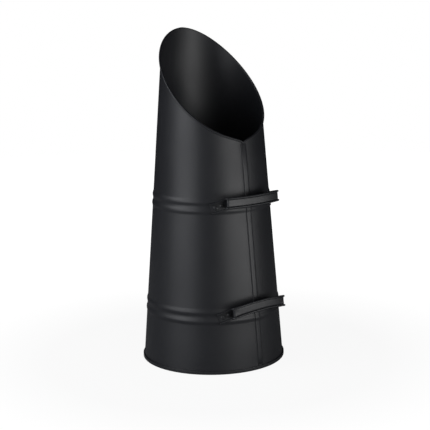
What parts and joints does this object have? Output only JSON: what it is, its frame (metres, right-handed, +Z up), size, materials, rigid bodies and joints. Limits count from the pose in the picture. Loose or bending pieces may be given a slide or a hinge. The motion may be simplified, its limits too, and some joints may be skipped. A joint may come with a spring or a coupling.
{
  "type": "coal scuttle",
  "caption": "Tall tapered sheet-steel coal scuttle with a slanted mouth, rolled beads, a seamed base and two riveted strap handles on its front.",
  "frame": {"origin": "on the floor, under the middle of the whole object's box", "axes": "+Z up; -Y is the front, where the mouth is lowest and the handles are; +Y is the high back"},
  "size_m": [0.2528, 0.2692, 0.5799],
  "materials": {
    "shell_coat": "satin black powder coat on sheet steel",
    "handle_coat": "satin black powder coat on strip steel",
    "rivet_coat": "satin black coat on the blind rivets",
    "wire_steel": "bare steel wire, hidden inside the rolled rim"
  },
  "bodies": {
    "root": {"body_shell": "shell_coat", "rim_wire": "wire_steel", "base_pan": "shell_coat", "upper_handle": "handle_coat", "upper_left_outer_rivet": "rivet_coat", "upper_left_outer_mandrel": "rivet_coat", "upper_left_inner_rivet": "rivet_coat", "upper_left_inner_mandrel": "rivet_coat", "upper_right_outer_rivet": "rivet_coat", "upper_right_outer_mandrel": "rivet_coat", "upper_right_inner_rivet": "rivet_coat", "upper_right_inner_mandrel": "rivet_coat", "lower_handle": "handle_coat", "lower_left_outer_rivet": "rivet_coat", "lower_left_outer_mandrel": "rivet_coat", "lower_left_inner_rivet": "rivet_coat", "lower_left_inner_mandrel": "rivet_coat", "lower_right_outer_rivet": "rivet_coat", "lower_right_outer_mandrel": "rivet_coat", "lower_right_inner_rivet": "rivet_coat", "lower_right_inner_mandrel": "rivet_coat"}
  },
  "joints": []
}
